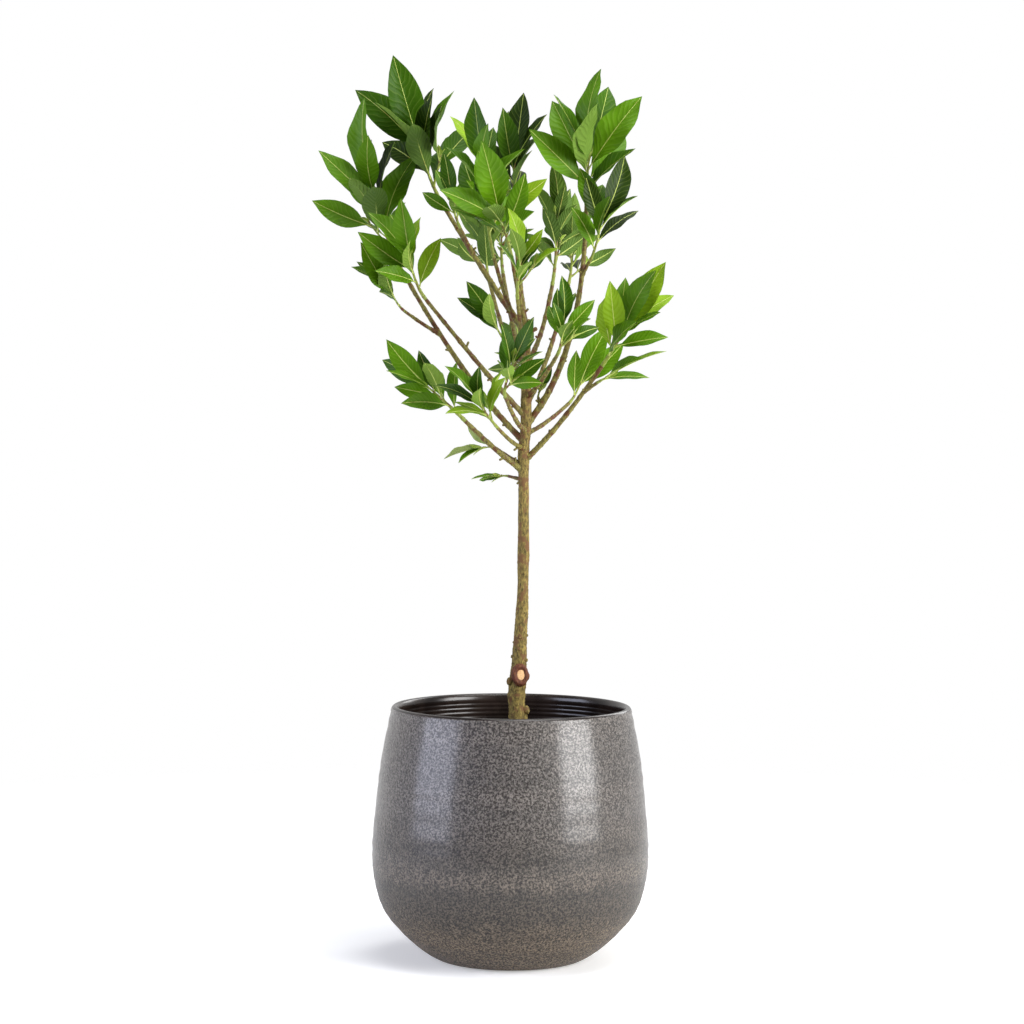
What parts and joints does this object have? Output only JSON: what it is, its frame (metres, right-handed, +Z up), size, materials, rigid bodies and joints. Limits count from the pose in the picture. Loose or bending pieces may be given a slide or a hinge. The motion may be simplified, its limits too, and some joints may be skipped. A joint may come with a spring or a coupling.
{
  "type": "half-standard bay shrub in a stoneware pot",
  "caption": "Young bay grown on a clear stem with an open, leafy crown, standing in a round-bellied glazed pot filled with compost.",
  "frame": {"origin": "middle of the pot's flat underside, where it stands on the ground", "axes": "+Z up along the pot's axis, front of the plant towards -Y, +X to the right as seen from the front"},
  "size_m": [0.3664, 0.3275, 0.917],
  "materials": {
    "pot_glaze": "dark brown stoneware glaze with fine pale speckle, glossy",
    "compost": "moist dark potting compost, matt and crumbly",
    "trunk_bark": "grey-olive bark with small warts, matt",
    "bough_bark": "olive-brown young bark, satin",
    "foliage": "glossy dark green bay leaves, paler below, on yellow-green twigs"
  },
  "bodies": {
    "root": {"pot": "pot_glaze", "compost": "compost", "trunk": "trunk_bark", "bough_low_left": "bough_bark", "bough_low_left_inner": "bough_bark", "bough_low_under": "bough_bark", "bough_low_twig": "bough_bark", "bough_left_long": "bough_bark", "bough_left_fork": "bough_bark", "bough_left_inner": "bough_bark", "bough_upper_left": "bough_bark", "bough_upper_spur": "bough_bark", "bough_centre_left": "bough_bark", "bough_centre_stub": "bough_bark", "bough_centre": "bough_bark", "bough_centre_top": "bough_bark", "bough_front_high": "bough_bark", "bough_front_low": "bough_bark", "bough_right_centre": "bough_bark", "bough_right_long": "bough_bark", "bough_right_fork": "bough_bark", "bough_right_spur": "bough_bark", "bough_right_front": "bough_bark", "bough_far_right": "bough_bark", "bough_far_right_fork": "bough_bark", "bough_low_right": "bough_bark", "bough_back_low": "bough_bark", "bough_back_high": "bough_bark", "bough_back_left": "bough_bark", "bough_back_right": "bough_bark", "foliage_low_left": "foliage", "foliage_low_left_inner": "foliage", "foliage_low_under": "foliage", "foliage_low_twig": "foliage", "foliage_left_long": "foliage", "foliage_left_fork": "foliage", "foliage_left_inner": "foliage", "foliage_upper_left": "foliage", "foliage_upper_spur": "foliage", "foliage_centre_left": "foliage", "foliage_centre_stub": "foliage", "foliage_centre": "foliage", "foliage_centre_top": "foliage", "foliage_front_high": "foliage", "foliage_front_low": "foliage", "foliage_right_centre": "foliage", "foliage_right_long": "foliage", "foliage_right_fork": "foliage", "foliage_right_spur": "foliage", "foliage_right_front": "foliage", "foliage_far_right": "foliage", "foliage_far_right_fork": "foliage", "foliage_low_right": "foliage", "foliage_back_low": "foliage", "foliage_back_high": "foliage", "foliage_back_left": "foliage", "foliage_back_right": "foliage"}
  },
  "joints": []
}
